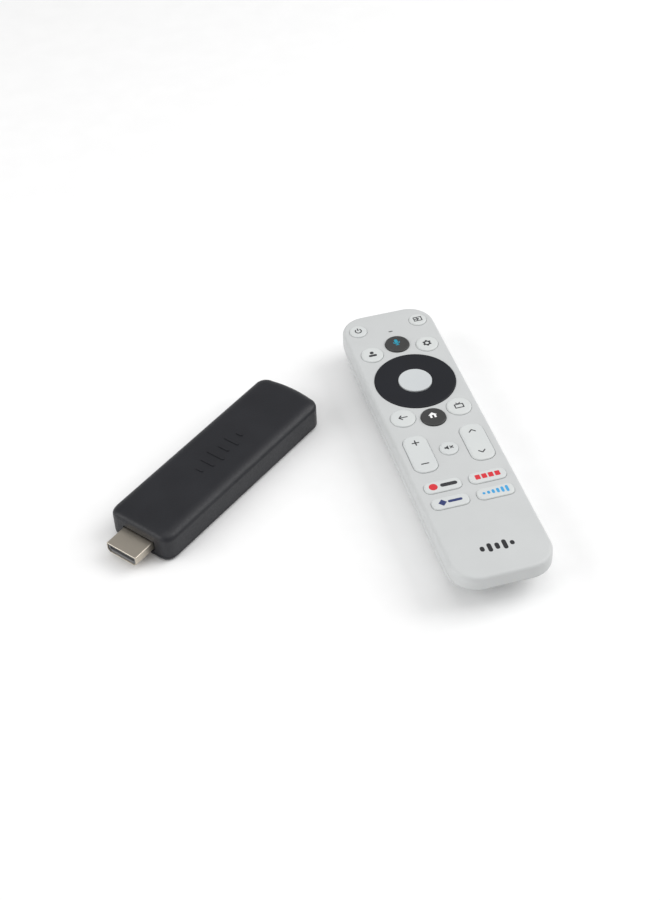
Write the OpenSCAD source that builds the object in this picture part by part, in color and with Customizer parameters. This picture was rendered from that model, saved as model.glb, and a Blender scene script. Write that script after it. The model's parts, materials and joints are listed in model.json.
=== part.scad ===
// Streaming media player: a plug-in media stick and its hand remote, lying flat side by side.
// Units are millimetres, +Z is up, and the origin is under the middle of the pair.

/* [Stick] */
// Length of the stick's housing, without the plug
stick_l = 92; // [86:0.5:100]
// Width of the stick's housing
stick_w = 28.5; // [27:0.5:32]
// Height of the stick's housing
stick_h = 12; // [12:0.5:14]
// Plan radius of the housing's corners
stick_corner_r = 5; // [4:0.5:7]
// Radius of the rounded top edge
stick_top_edge_r = 2.4; // [1:0.2:3]
// Radius of the rounded bottom edge
stick_bottom_edge_r = 1.4; // [0.6:0.2:2]
// How far the far end bows out at its middle
stick_end_bow = 0.9; // [0.2:0.1:1.5]
// Wall thickness of the stick's shells
stick_wall = 1.5; // [1.2:0.1:1.8]

/* [Video plug] */
// Width of the plug's metal shell
plug_w = 13.9; // [13.8:0.05:14]
// Height of the plug's metal shell
plug_h = 4.45; // [4.4:0.05:4.55]
// Length of plug standing out of the housing
plug_out = 9.4; // [9:0.2:12]
// Height of the plug's centre above the table
plug_z = 4.7; // [4.6:0.1:5.4]
// Metal thickness of the plug's shell
plug_metal = 0.35; // [0.3:0.05:0.45]
// Depth of the pocket that the plug comes out of
plug_pocket_d = 0.7; // [0.5:0.1:1]

/* [Remote case] */
// Length of the remote
remote_l = 148; // [146:0.5:156]
// Width of the remote
remote_w = 37.5; // [37:0.5:40]
// Height of the remote's case
remote_h = 17; // [16.8:0.1:17.4]
// Plan radius of the remote's corners
remote_corner_r = 10; // [9:0.5:11]
// Wall thickness of the remote's case
remote_wall = 1.6; // [1.4:0.1:1.8]
// Height of the seam between the two halves of the case
seam_z = 11.2; // [10.8:0.1:11.6]
// Width of the battery door
door_w = 24; // [23.6:0.1:24.4]

/* [Keys] */
// How far the keys stand out of the case
key_proud = 0.6; // [0.6:0.1:1]
// How far the direction ring stands out of the case
ring_proud = 0.4; // [0.3:0.1:0.8]
// Travel of a pressed key
key_travel = 0.5; // [0.3:0.05:0.5]
// Gap round each key
key_gap = 0.2; // [0.15:0.01:0.25]
// Radius of the power, input and mute keys
small_key_r = 3.5; // [3.2:0.1:3.8]
// Radius of the profile and settings keys
middle_key_r = 4.4; // [4:0.1:4.6]
// Radius of the voice, home, back and guide keys
large_key_r = 4.8; // [4.4:0.1:4.9]
// Outer radius of the direction ring
ring_r = 15.7; // [15:0.1:15.8]
// Radius of the select key in the middle of the ring
ok_r = 6.5; // [6:0.1:6.6]
// Width of a rocker key
rocker_w = 9.2; // [8.6:0.1:9.6]
// Length of a rocker key
rocker_l = 19.8; // [18.6:0.2:20]
// Width of an app key
app_w = 14; // [13:0.2:14.4]
// Length of an app key along the remote
app_l = 5.6; // [5:0.1:5.8]

/* [Placement] */
// Angle of the stick's length from the remote's cross direction
stick_angle = 37.6; // [30:0.1:45]
// Distance of the stick's centre to the left of the remote's
stick_left = 80.7; // [78:0.1:95]
// Distance of the stick's centre beyond the remote's
stick_beyond = 19.3; // [10:0.1:25]

/* [Hidden] */

$fn = 48;
hull_fn = 32;
level_t = 0.3;
join = 0.01;

// Placement: the pair's box is centred on the origin
stick_lowest_x = -stick_left - (stick_l / 2 + plug_out) * cos(stick_angle)
    - (plug_w / 2) * sin(stick_angle);
remote_x = -(stick_lowest_x + remote_w / 2) / 2;
stick_x = remote_x - stick_left;
stick_y = stick_beyond;

// Stick levels and places, in the stick's own frame: +X is the far end, the plug is at -X
stick_near_x = -stick_l / 2;
stick_far_x = stick_l / 2;
board_t = 0.8;
board_z = plug_z - board_t / 2;
board_x0 = stick_near_x + 6.2;
board_x1 = stick_far_x - 4;
board_w = 23;
board_l = board_x1 - board_x0;
chip_z = board_z + board_t;
chip_h = 1;
chip_x = -12;
chip_w = 12;
can_x = chip_x + 1;
can_l = 24;
can_w = 19;
can_h = 1.8;
can_metal = 0.2;
pad_t = 0.4;
spreader_t = 0.5;
spreader_l = 54;
spreader_w = 20;
memory_x = 12;
memory_w = 8;
memory_y = 5.4;
memory_h = 0.9;
antenna_x = 30;
antenna_l = 4;
plug_inside = 6;
stick_seam_z = 1.8;
plug_low_chamfer = 1.1;
plug_pocket_margin = 0.4;
plug_hole_gap = 0.12;
liner_gap = 0.05;
liner_setback = 0.9;
slot_w = 11.4;
slot_h = 1.5;
slot_depth = 8;
contact_w = 0.45;
contact_t = 0.2;
contact_pitch = 1;
contact_l = 7;
inlet_w = 7.5;
inlet_h = 2.6;
inlet_l = 5.4;
inlet_metal = 0.25;
inlet_setback = 0.9;
inlet_z = chip_z + inlet_h / 2;
inlet_mouth_gap = 0.5;
reset_x = 26;
reset_r = 1.4;
reset_gap = 0.1;
reset_travel = 0.3;
reset_flange_r = 2;
reset_flange_t = 0.6;
reset_z = 6.4;
reset_proud = 0.1;
switch_w = 3;
switch_depth = 1.4;
light_x = 34;
light_r = 0.6;
light_gap = 0.06;
light_l = 2.6;

// Remote levels, in the remote's own frame: +Y is the far end, +Z is up
top_plate_z = remote_h - remote_wall;
mat_z = 13.2;
mat_t = 0.2;
dome_h = 0.35;
dome_r = 1.8;
rboard_t = 0.8;
rboard_z = 12.3;
rboard_w = 32.6;
rboard_y0 = -44;
rboard_y1 = 67.6;
pad_h = 0.05;
pad_r = 1.5;
key_foot_z = 14.3;
key_flange_z = top_plate_z - 0.2;
tilt_flange_z = top_plate_z - 0.65;
flange_out = 0.45;
key_edge = 0.35;
ring_inner_r = ok_r + 0.25;
ring_step_r = 10;
ring_step_z = key_foot_z + 0.9;
support_in_r = 7.6;
support_out_r = 9.4;
support_z = key_foot_z - 0.2;
support_t = 0.7;
ok_proud = ring_proud + 0.2;
rocker_corner_r = 3.8;
app_corner_r = 2.4;
battery_r = 5.25;
battery_l = 44.5;
battery_x = 5.6;
battery_z = remote_wall + 0.1 + battery_r;
battery_y = -31;
battery_tip_r = 2.75;
battery_tip_l = 0.8;
tray_wall = 1.1;
tray_l = 54;
tray_top_z = rboard_z - 0.1;
tray_y = -31;
plate_t = 0.4;
plate_h = 6.4;
plate_w = 20;
spring_l = 3.2;
post_r = 1.9;
post_x = 15;
post_ys = [57.5, -22.4];
screw_r = 0.75;
screw_bore_r = 0.8;
screw_head_r = 1.5;
screw_head_h = 0.9;
door_end_y = 2;
door_lip_z = 2.9;
door_gap = 0.15;
window_w = 9;
window_h = 2.8;
window_z = 12.9;
lamp_r = 1.5;
mic_y = 61.3;

// Key places on the remote's face
power_at = [-12.45, 64.8];
input_at = [12.45, 64.8];
profile_at = [-11.3, 49.3];
settings_at = [11.3, 49.3];
voice_at = [0, 52.6];
ring_at = [0, 29.7];
back_at = [-11.1, 10.5];
guide_at = [11.1, 10.5];
home_at = [0, 7.65];
volume_at = [-11, -9.9];
channel_at = [11, -9.9];
mute_at = [0, -10.1];
app_x = 8.5;
app_ys = [-28, -36.4];
rocker_dome_y = 6.5;
ring_dome_r = 12.8;

// Plan positions of all the switch domes under the keys
single_domes = [power_at, input_at, profile_at, settings_at, voice_at, ring_at, back_at, guide_at,
    home_at, mute_at];
app_domes = [for (y = app_ys, side = [-1, 1]) [side * app_x, y]];
rocker_domes = [for (at = [volume_at, channel_at], side = [-1, 1]) at + [0, side * rocker_dome_y]];
ring_domes = [for (a = [0:90:270]) ring_at + ring_dome_r * [cos(a), sin(a)]];
domes = concat(single_domes, app_domes, rocker_domes, ring_domes);

// Outline of the remote's case, as [height, inset of the sides, inset of the ends]: its underside,
// curved gently at the sides and steeply at the ends, its upright side and its eased upper edge
case_low_levels = [[0, 7, 17], [0.5, 5.4, 15.2], [1.5, 3.9, 13], [3, 2.4, 10.3], [5, 1.1, 7.3],
    [7, 0.4, 4.7], [9, 0.08, 2.3]];
case_side_z = [seam_z, remote_h - 1.5];
case_top_levels = [[remote_h - 0.6, 0.35, 0.35], [remote_h - 0.15, 0.95, 0.95],
    [remote_h, 1.6, 1.6]];

case_white = "#D6D9D8";
key_white = "#E4E6E5";
key_dark = "#3A3A3D";
ring_dark = "#2C2E38";
stick_dark = "#333438";
plug_nickel = "#8E867A";

module on_remote() translate([remote_x, 0, 0]) children();

module on_stick() translate([stick_x, stick_y, 0]) rotate([0, 0, stick_angle]) children();

// A rounded rectangle with true arcs, centred, width along X and length along Y
module round_plan(w, l, r) {
    square([w - 2 * r, l], center = true);
    square([w, l - 2 * r], center = true);
    for (x = [-1, 1], y = [-1, 1]) translate([x * (w / 2 - r), y * (l / 2 - r)]) circle(r);
}

module round_block(w, l, r, h) linear_extrude(h) round_plan(w, l, r);

module block(x, y, z) translate([0, 0, z / 2]) cube([x, y, z], center = true);

// ---- Stick ----

// One level of the stick's outline, inset by a margin, given as the pieces that a hull joins
module stick_level(inset, h) {
    r = max(stick_corner_r - inset, 1);
    side_y = stick_w / 2 - inset - r;
    far_x = stick_far_x - inset;
    linear_extrude(h) {
        for (side = [-1, 1]) {
            translate([stick_near_x + inset + r, side * side_y]) circle(r, $fn = hull_fn);
            translate([far_x - stick_end_bow - r, side * side_y]) circle(r, $fn = hull_fn);
        }
        polygon([[0, 0], [far_x - stick_end_bow / 4, -side_y / 2], [far_x, 0],
            [far_x - stick_end_bow / 4, side_y / 2]]);
    }
}

// The stick's rounded slab, shrunk all round by a wall thickness, its edges rounded in even steps
module stick_slab(wall, steps) {
    top_r = max(stick_top_edge_r - wall, 0.6);
    low_r = max(stick_bottom_edge_r - wall, 0.6);
    hull() {
        translate([0, 0, wall + low_r]) stick_level(wall, stick_h - 2 * wall - low_r - top_r);
        for (i = [1:steps]) {
            a = 90 * i / steps;
            translate([0, 0, wall + low_r * (1 - sin(a))])
                stick_level(wall + low_r * (1 - cos(a)), level_t);
            translate([0, 0, stick_h - wall - level_t - top_r * (1 - sin(a))])
                stick_level(wall + top_r * (1 - cos(a)), level_t);
        }
    }
}

// A slab between two heights, larger than the stick in plan
module stick_band(z0, z1) translate([0, 0, z0]) block(stick_l * 2, stick_w * 2, z1 - z0);

// Outline across the video plug: square upper corners and slanted lower ones, shrunk by a margin
module plug_outline(margin) {
    w = plug_w / 2 - margin;
    h = plug_h / 2 - margin;
    c = plug_low_chamfer;
    polygon([[-w, h], [w, h], [w, c - h], [w - c, -h], [c - w, -h], [-w, c - h]]);
}

// The plug's outline drawn out along the stick from x0 to x1
module plug_prism(margin, x0, x1)
    translate([x0, 0, plug_z]) rotate([90, 0, 90]) linear_extrude(x1 - x0) plug_outline(margin);

// Holes through the housing's two ends: the plug's pocket and passage, and the power inlet's mouth
module stick_end_openings() {
    plug_prism(-plug_hole_gap, stick_near_x - 1, stick_near_x + plug_inside + 1);
    plug_prism(-plug_pocket_margin, stick_near_x - 1, stick_near_x + plug_pocket_d);
    translate([stick_far_x - inlet_setback, 0, inlet_z]) rotate([90, 0, 90])
        translate([0, 0, -inlet_l]) linear_extrude(inlet_l + 4)
            round_plan(inlet_w + 2 * inlet_mouth_gap, inlet_h + 2 * inlet_mouth_gap, 1);
}

// Holes through the housing's left side: the reset button and the light pipe
module stick_side_openings() {
    translate([reset_x, 0, reset_z]) rotate([-90, 0, 0]) cylinder(r = reset_r + reset_gap, h = stick_w);
    translate([light_x, 0, reset_z]) rotate([-90, 0, 0]) cylinder(r = light_r + light_gap, h = stick_w);
}

module stick_top_shell() color(stick_dark) on_stick() difference() {
    stick_slab(0, 3);
    stick_slab(stick_wall, 1);
    stick_band(-1, stick_seam_z);
    stick_end_openings();
    stick_side_openings();
}

module stick_bottom_shell() color(stick_dark) on_stick() difference() {
    stick_slab(0, 3);
    stick_slab(stick_wall, 1);
    stick_band(stick_seam_z, stick_h + 1);
}

module video_plug_shell() color(plug_nickel) on_stick() difference() {
    plug_prism(0, stick_near_x - plug_out, stick_near_x + plug_inside);
    plug_prism(plug_metal, stick_near_x - plug_out - 1, stick_near_x + plug_inside + 1);
}

module plug_insulator() color("#1B1B1D") on_stick() difference() {
    x0 = stick_near_x - plug_out + liner_setback;
    plug_prism(plug_metal + liner_gap, x0, stick_near_x + plug_inside);
    translate([x0 - 1, 0, plug_z - slot_h / 2]) translate([(slot_depth + 1) / 2, 0, 0])
        block(slot_depth + 1, slot_w, slot_h);
}

// Nineteen contact blades: ten along the slot's upper face and nine along its lower face
module plug_contacts() color("#C9A24B") on_stick() {
    x = stick_near_x - plug_out + liner_setback + 0.6 + contact_l / 2;
    for (i = [0:9]) translate([x, (i - 4.5) * contact_pitch, plug_z + slot_h / 2 - contact_t])
        block(contact_l, contact_w, contact_t);
    for (i = [0:8]) translate([x, (i - 4) * contact_pitch, plug_z - slot_h / 2])
        block(contact_l, contact_w, contact_t);
}

module stick_board() color("#1F5A3A") on_stick()
    translate([(board_x0 + board_x1) / 2, 0, board_z]) block(board_l, board_w, board_t);

module processor() color("#17181A") on_stick()
    translate([chip_x, 0, chip_z]) block(chip_w, chip_w, chip_h);

module memory_chips() color("#17181A") on_stick() for (side = [-1, 1])
    translate([memory_x, side * memory_y, chip_z]) block(memory_w, memory_w, memory_h);

module shield_can() color("#B9BBBC") on_stick() translate([can_x, 0, chip_z]) difference() {
    block(can_l, can_w, can_h);
    translate([0, 0, -1]) block(can_l - 2 * can_metal, can_w - 2 * can_metal, can_h + 1 - can_metal);
}

module thermal_pad() color("#7E93A8") on_stick()
    translate([can_x, 0, chip_z + can_h]) block(can_w, can_w - 2, pad_t);

module heat_spreader() color("#A9ABAD") on_stick()
    translate([0, 0, chip_z + can_h + pad_t]) block(spreader_l, spreader_w, spreader_t);

module power_socket_shell() color("#B9BBBC") on_stick()
    translate([stick_far_x - inlet_setback - inlet_l - stick_end_bow, 0, inlet_z]) rotate([90, 0, 90])
        linear_extrude(inlet_l) difference() {
            round_plan(inlet_w, inlet_h, 0.7);
            round_plan(inlet_w - 2 * inlet_metal, inlet_h - 2 * inlet_metal, 0.45);
        }

module power_socket_tongue() color("#1B1B1D") on_stick()
    translate([stick_far_x - inlet_setback - inlet_l - stick_end_bow, 0, inlet_z - inlet_h / 2 + inlet_metal]) {
        translate([0.5, 0, 0.05]) block(1, inlet_w - 6 * inlet_metal, inlet_h - 2 * inlet_metal - 0.1);
        translate([2.6, 0, 0.9]) block(3.6, 3.7, 0.6);
    }

module reset_button() color("#2A2B2E") on_stick()
    translate([reset_x, stick_w / 2 + reset_proud, reset_z]) rotate([90, 0, 0]) {
        cylinder(r = reset_r, h = stick_wall + reset_proud + 0.3);
        translate([0, 0, stick_wall + reset_proud + 0.1]) cylinder(r = reset_flange_r, h = reset_flange_t);
    }

module reset_switch() color("#B9BBBC") on_stick() {
    y = stick_w / 2 - stick_wall - 0.1 - reset_flange_t - reset_travel - 0.1;
    translate([reset_x, y - switch_depth / 2, chip_z]) block(switch_w, switch_depth, reset_z - chip_z + 1);
}

module light_pipe() color("#E8ECEF") on_stick()
    translate([light_x, stick_w / 2, reset_z]) rotate([90, 0, 0]) cylinder(r = light_r, h = light_l);

module stick_light() color("#F4F6F0") on_stick()
    translate([light_x, stick_w / 2 - light_l - 0.5, chip_z])
        block(1.2, 0.8, reset_z - chip_z + light_r);

module antenna() color("#C98B4A") on_stick() difference() {
    translate([antenna_x, 0, chip_z]) block(antenna_l, 14, 0.4);
    for (i = [-3:2]) translate([antenna_x + (i % 2 == 0 ? 0.6 : -0.6), (i + 0.5) * 2, chip_z - 1])
        block(antenna_l - 0.8, 0.8, 3);
}

// ---- Remote case ----

// One level of the remote's outline, its sides and ends inset, given as the corners a hull joins
module case_level(side, end, h) {
    r = remote_corner_r - min(side, 1.6);
    linear_extrude(h) for (x = [-1, 1], y = [-1, 1])
        translate([x * (remote_w / 2 - side - r), y * (remote_l / 2 - end - r)])
            circle(r, $fn = hull_fn);
}

// The remote's volume below its upper edge, shrunk all round by a wall thickness
module case_belly(wall, top_z) {
    translate([0, 0, case_side_z[0]]) case_level(wall, wall, top_z - case_side_z[0]);
    for (level = case_low_levels) translate([0, 0, level[0] + wall])
        case_level(level[1] + wall, level[2] + wall, level_t);
}

// The remote's whole rounded volume
module case_volume() hull() {
    case_belly(0, case_side_z[1]);
    for (level = case_top_levels) translate([0, 0, level[0] - level_t])
        case_level(level[1], level[2], level_t);
}

// The remote's cavity, under a flat ceiling
module case_cavity(wall) hull() case_belly(wall, remote_h - wall);

module case_skin() difference() {
    case_volume();
    case_cavity(remote_wall);
}

// A slab between two heights, larger than the remote in plan
module case_band(z0, z1) translate([0, 0, z0]) block(remote_w * 2, remote_l * 2, z1 - z0);

// The space that the battery door fills and slides out through, widened by a gap
module door_space(gap) translate([0, door_end_y + gap - remote_l, -1])
    block(door_w + 2 * gap, remote_l * 2, door_lip_z + gap + 1);

// A rounded bar through the far end, where the infrared window sits
module window_bar(y0, y1, gap) translate([0, y0, window_z]) rotate([-90, 0, 0])
    linear_extrude(y1 - y0) round_plan(window_w + 2 * gap, window_h + 2 * gap, 0.8 + gap);

// Shape of each key's hole through the face, at a key's place
module key_hole(at) translate([at[0], at[1], mat_z]) linear_extrude(remote_h) children();

module key_holes() {
    for (at = [power_at, input_at, mute_at]) key_hole(at) circle(small_key_r + key_gap);
    for (at = [profile_at, settings_at]) key_hole(at) circle(middle_key_r + key_gap);
    for (at = [voice_at, back_at, guide_at, home_at]) key_hole(at) circle(large_key_r + key_gap);
    key_hole(ring_at) circle(ring_r + key_gap);
    for (at = [volume_at, channel_at]) key_hole(at)
        round_plan(rocker_w + 2 * key_gap, rocker_l + 2 * key_gap, rocker_corner_r + key_gap);
    for (y = app_ys, side = [-1, 1]) key_hole([side * app_x, y])
        round_plan(app_w + 2 * key_gap, app_l + 2 * key_gap, app_corner_r + key_gap);
    key_hole([0, mic_y]) round_plan(1.6, 0.6, 0.29);
}

module post_places() for (x = [-1, 1], y = post_ys) translate([x * post_x, y, 0]) children();

module remote_top_case() color(case_white) on_remote() difference() {
    union() {
        difference() {
            case_skin();
            case_band(-1, seam_z);
        }
        post_places() translate([0, 0, rboard_z + rboard_t])
            cylinder(r = post_r, h = remote_h - 1 - rboard_z - rboard_t);
    }
    key_holes();
    window_bar(remote_l / 2 - 2 * remote_wall, remote_l, 0.05);
    post_places() translate([0, 0, rboard_z]) cylinder(r = screw_bore_r, h = 3.4);
}

module battery_tray() translate([0, tray_y, 0]) difference() {
    block(door_w + 2 * door_gap + 2 * tray_wall, tray_l + 2 * tray_wall, tray_top_z);
    translate([0, 0, -1]) block(door_w + 2 * door_gap, tray_l, remote_h);
}

module remote_bottom_case() color(case_white) on_remote() difference() {
    union() {
        difference() {
            case_skin();
            case_band(seam_z, remote_h + 1);
        }
        intersection() {
            case_cavity(remote_wall / 2);
            battery_tray();
        }
    }
    door_space(door_gap);
}

module battery_door() color(case_white) on_remote() intersection() {
    case_skin();
    door_space(0);
}

module infrared_window() color("#1A1416") on_remote()
    window_bar(remote_l / 2 - remote_wall, remote_l / 2 - 0.1, 0);

module board_plan(w, y0, y1) translate([0, (y0 + y1) / 2]) round_plan(w, y1 - y0, 6);

module keypad_mat() color("#B9BDBD") on_remote() {
    difference() {
        translate([0, 0, mat_z]) linear_extrude(mat_t) board_plan(rboard_w - 1, rboard_y0 + 0.5,
            rboard_y1 - 0.5);
        post_places() translate([0, 0, mat_z - 1]) cylinder(r = post_r + 0.2, h = 3);
        translate([0, mic_y, mat_z - 1]) block(3.4, 2.6, 3);
    }
    for (at = domes) translate([at[0], at[1], mat_z + mat_t - join])
        cylinder(r1 = dome_r, r2 = dome_r * 0.6, h = dome_h + join);
}

module remote_board() color("#1F5A3A") on_remote() difference() {
    translate([0, 0, rboard_z]) linear_extrude(rboard_t) board_plan(rboard_w, rboard_y0, rboard_y1);
    post_places() translate([0, 0, rboard_z - 1]) cylinder(r = screw_bore_r + 0.1, h = 3);
}

module key_contacts() color("#C9A24B") on_remote() for (at = domes)
    translate([at[0], at[1], rboard_z + rboard_t]) cylinder(r = pad_r, h = pad_h);

module controller_chip() color("#17181A") on_remote()
    translate([0, 22, rboard_z - chip_h]) block(6, 6, chip_h);

module infrared_lamp() color("#3B2430") on_remote()
    translate([0, remote_l / 2 - remote_wall - 0.3, window_z]) rotate([90, 0, 0]) {
        cylinder(r = lamp_r, h = 3.4);
        translate([0, 0, 3.4]) cylinder(r = lamp_r + 0.15, h = 0.6);
    }

module microphone() color("#C2C4C6") on_remote()
    translate([0, mic_y, rboard_z + rboard_t]) block(2.7, 1.9, 0.95);

// One cell lying along Y, its tip towards the given end
module battery(side, tip) color("#7C8289") on_remote()
    translate([side * battery_x, battery_y, battery_z]) rotate([-90 * tip, 0, 0]) {
        translate([0, 0, -battery_l / 2]) cylinder(r = battery_r, h = battery_l - battery_tip_l);
        cylinder(r = battery_tip_r, h = battery_l / 2);
    }

module battery_left() battery(-1, 1);

module battery_right() battery(1, -1);

// Tapered spring, drawn as its stepped outline, at each cell's flat end
module battery_springs() color("#B9BBBC") on_remote() for (side = [-1, 1])
    translate([side * battery_x, battery_y + side * (battery_l / 2 + spring_l + 0.05), battery_z])
        rotate([90 * side, 0, 0]) rotate_extrude() polygon([[0.6, 0], [4, 0], [4, 0.7], [3.5, 0.7],
            [3.5, 1.4], [3, 1.4], [3, 2.1], [2.5, 2.1], [2.5, 2.8], [2, 2.8], [2, spring_l],
            [0.6, spring_l]]);

// Contact plates at the tray's two ends
module battery_plates() color("#B9BBBC") on_remote() for (end = [-1, 1])
    translate([0, tray_y + end * (tray_l / 2 - plate_t / 2 - 0.05), battery_z - plate_h / 2])
        block(plate_w, plate_t, plate_h);

module board_screws() color("#8F9194") on_remote() post_places() translate([0, 0, rboard_z]) {
    translate([0, 0, -screw_head_h]) cylinder(r = screw_head_r, h = screw_head_h);
    cylinder(r = screw_r, h = 3);
}

// ---- Keys ----

// A round key: a foot with a flange under the face, and a cap with an eased edge
module round_key(at, r, proud, flange_z) translate([at[0], at[1], 0]) rotate_extrude() {
    top = remote_h + proud;
    polygon([[0, key_foot_z], [r + flange_out, key_foot_z], [r + flange_out, flange_z],
        [r, flange_z], [r, top - key_edge], [r - key_edge * 0.3, top - key_edge * 0.3],
        [r - key_edge, top], [0, top]]);
}

// A key with a rounded oblong outline and an eased edge in two steps
module oblong_key(at, w, l, r, flange_z) translate([at[0], at[1], 0]) {
    top = remote_h + key_proud;
    translate([0, 0, key_foot_z])
        round_block(w + 2 * flange_out, l + 2 * flange_out, r + flange_out, flange_z - key_foot_z);
    translate([0, 0, key_foot_z]) round_block(w, l, r, top - key_edge - key_foot_z);
    translate([0, 0, key_foot_z])
        round_block(w - key_edge, l - key_edge, r - key_edge / 2, top - key_edge * 0.3 - key_foot_z);
    translate([0, 0, key_foot_z])
        round_block(w - 2 * key_edge, l - 2 * key_edge, r - key_edge, top - key_foot_z);
}

module power_button() color(key_white) on_remote()
    round_key(power_at, small_key_r, key_proud, key_flange_z);

module input_button() color(key_white) on_remote()
    round_key(input_at, small_key_r, key_proud, key_flange_z);

module profile_button() color(key_white) on_remote()
    round_key(profile_at, middle_key_r, key_proud, key_flange_z);

module voice_button() color(key_dark) on_remote()
    round_key(voice_at, large_key_r, key_proud, key_flange_z);

module settings_button() color(key_white) on_remote()
    round_key(settings_at, middle_key_r, key_proud, key_flange_z);

// The ring that the direction pad rocks on
module dpad_support() color("#B9BDBD") on_remote() translate([ring_at[0], ring_at[1], support_z])
    difference() {
        cylinder(r = support_out_r, h = support_t);
        translate([0, 0, -1]) cylinder(r = support_in_r, h = support_t + 2);
    }

module dpad_ring() color(ring_dark) on_remote() translate([ring_at[0], ring_at[1], 0])
    rotate_extrude() {
        top = remote_h + ring_proud;
        polygon([[ring_inner_r, ring_step_z], [ring_step_r, ring_step_z], [ring_step_r, key_foot_z],
            [ring_r + flange_out, key_foot_z], [ring_r + flange_out, tilt_flange_z],
            [ring_r, tilt_flange_z], [ring_r, top - key_edge],
            [ring_r - key_edge * 0.3, top - key_edge * 0.3], [ring_r - key_edge, top],
            [ring_inner_r + key_edge, top], [ring_inner_r, top - key_edge]]);
    }

module ok_button() color(key_white) on_remote()
    round_key(ring_at, ok_r, ok_proud, tilt_flange_z);

module back_button() color(key_white) on_remote()
    round_key(back_at, large_key_r, key_proud, key_flange_z);

module home_button() color(key_dark) on_remote()
    round_key(home_at, large_key_r, key_proud, key_flange_z);

module guide_button() color(key_white) on_remote()
    round_key(guide_at, large_key_r, key_proud, key_flange_z);

module volume_rocker() color(key_white) on_remote()
    oblong_key(volume_at, rocker_w, rocker_l, rocker_corner_r, tilt_flange_z);

module channel_rocker() color(key_white) on_remote()
    oblong_key(channel_at, rocker_w, rocker_l, rocker_corner_r, tilt_flange_z);

module mute_button() color(key_white) on_remote()
    round_key(mute_at, small_key_r, key_proud, key_flange_z);

module app_button(side, y) color(key_white) on_remote()
    oblong_key([side * app_x, y], app_w, app_l, app_corner_r, key_flange_z);

module app_button_1() app_button(-1, app_ys[0]);

module app_button_2() app_button(1, app_ys[0]);

module app_button_3() app_button(-1, app_ys[1]);

module app_button_4() app_button(1, app_ys[1]);

stick_top_shell();
stick_bottom_shell();
video_plug_shell();
plug_insulator();
plug_contacts();
stick_board();
processor();
memory_chips();
shield_can();
thermal_pad();
heat_spreader();
power_socket_shell();
power_socket_tongue();
reset_button();
reset_switch();
light_pipe();
stick_light();
antenna();
remote_top_case();
remote_bottom_case();
battery_door();
keypad_mat();
remote_board();
key_contacts();
controller_chip();
infrared_lamp();
infrared_window();
microphone();
battery_left();
battery_right();
battery_springs();
battery_plates();
board_screws();
power_button();
input_button();
profile_button();
voice_button();
settings_button();
dpad_support();
dpad_ring();
ok_button();
back_button();
home_button();
guide_button();
volume_rocker();
mute_button();
channel_rocker();
app_button_1();
app_button_2();
app_button_3();
app_button_4();
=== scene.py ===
"""Streaming media player: a plug-in media stick and the hand remote that goes with it.

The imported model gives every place. This script models the visible pieces round it, gives every
surface the finish of a real material, and sets up a plain studio view.
"""

import json
import logging
import math
from collections.abc import Callable, Sequence
from dataclasses import dataclass, field, replace
from enum import Enum

import bmesh
import bpy
from mathutils import Matrix, Vector


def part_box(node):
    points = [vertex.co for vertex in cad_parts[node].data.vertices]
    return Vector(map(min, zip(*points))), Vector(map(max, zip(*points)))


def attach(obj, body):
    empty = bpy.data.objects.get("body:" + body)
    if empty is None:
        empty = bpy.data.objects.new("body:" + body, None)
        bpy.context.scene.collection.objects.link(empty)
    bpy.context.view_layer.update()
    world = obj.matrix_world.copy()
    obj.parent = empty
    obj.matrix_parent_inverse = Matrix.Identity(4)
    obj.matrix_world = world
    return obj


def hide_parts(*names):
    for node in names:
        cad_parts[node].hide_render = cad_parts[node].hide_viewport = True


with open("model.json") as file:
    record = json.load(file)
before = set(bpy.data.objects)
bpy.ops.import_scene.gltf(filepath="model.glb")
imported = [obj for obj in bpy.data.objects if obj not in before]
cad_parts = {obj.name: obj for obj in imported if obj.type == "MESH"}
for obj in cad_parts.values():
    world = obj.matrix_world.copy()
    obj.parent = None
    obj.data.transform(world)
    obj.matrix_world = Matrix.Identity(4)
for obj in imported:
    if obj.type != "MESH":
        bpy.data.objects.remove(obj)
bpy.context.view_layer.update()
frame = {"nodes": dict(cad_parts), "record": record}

MM = 0.001
BODY_OF = {node: body for body, nodes in frame["record"]["behaviour"]["bodies"].items()
           for node in nodes}
TURN_X = Matrix.Rotation(math.pi / 2, 4, "X")
log = logging.getLogger("media_player")

Point = tuple[float, float]
Step = tuple[float, float]


# ---- Finishes ----


def linear_colour(code: str) -> tuple[float, float, float, float]:
    """Turns an sRGB hex colour into the linear one that a shader takes.

    Args:
        code: the colour as "#RRGGBB".

    Returns:
        Linear red, green and blue, and an alpha of one.
    """
    channels = [int(code[i:i + 2], 16) / 255 for i in (1, 3, 5)]
    linear = [c / 12.92 if c <= 0.04045 else ((c + 0.055) / 1.055) ** 2.4 for c in channels]
    return (linear[0], linear[1], linear[2], 1.0)


def add_node(tree: bpy.types.NodeTree, kind: str, settings: dict | None = None,
             inputs: dict | None = None) -> bpy.types.Node:
    """Adds a shader node with its settings, input values and links.

    Args:
        tree: the material's node tree.
        kind: the node's type name.
        settings: attributes to set on the node.
        inputs: values for its input sockets, or output sockets to link to them.

    Returns:
        The new node.
    """
    node = tree.nodes.new(kind)
    for name, value in (settings or {}).items():
        setattr(node, name, value)
    for name, value in (inputs or {}).items():
        if isinstance(value, bpy.types.NodeSocket):
            tree.links.new(value, node.inputs[name])
        else:
            node.inputs[name].default_value = value
    return node


class Texture(Enum):
    """How a surface was made, which sets the shape of its pattern."""

    MOULDED = (1.0, 1.0, 1.0)
    BRUSHED = (0.06, 1.0, 1.0)
    DRAWN = (1.0, 0.06, 1.0)


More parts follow.
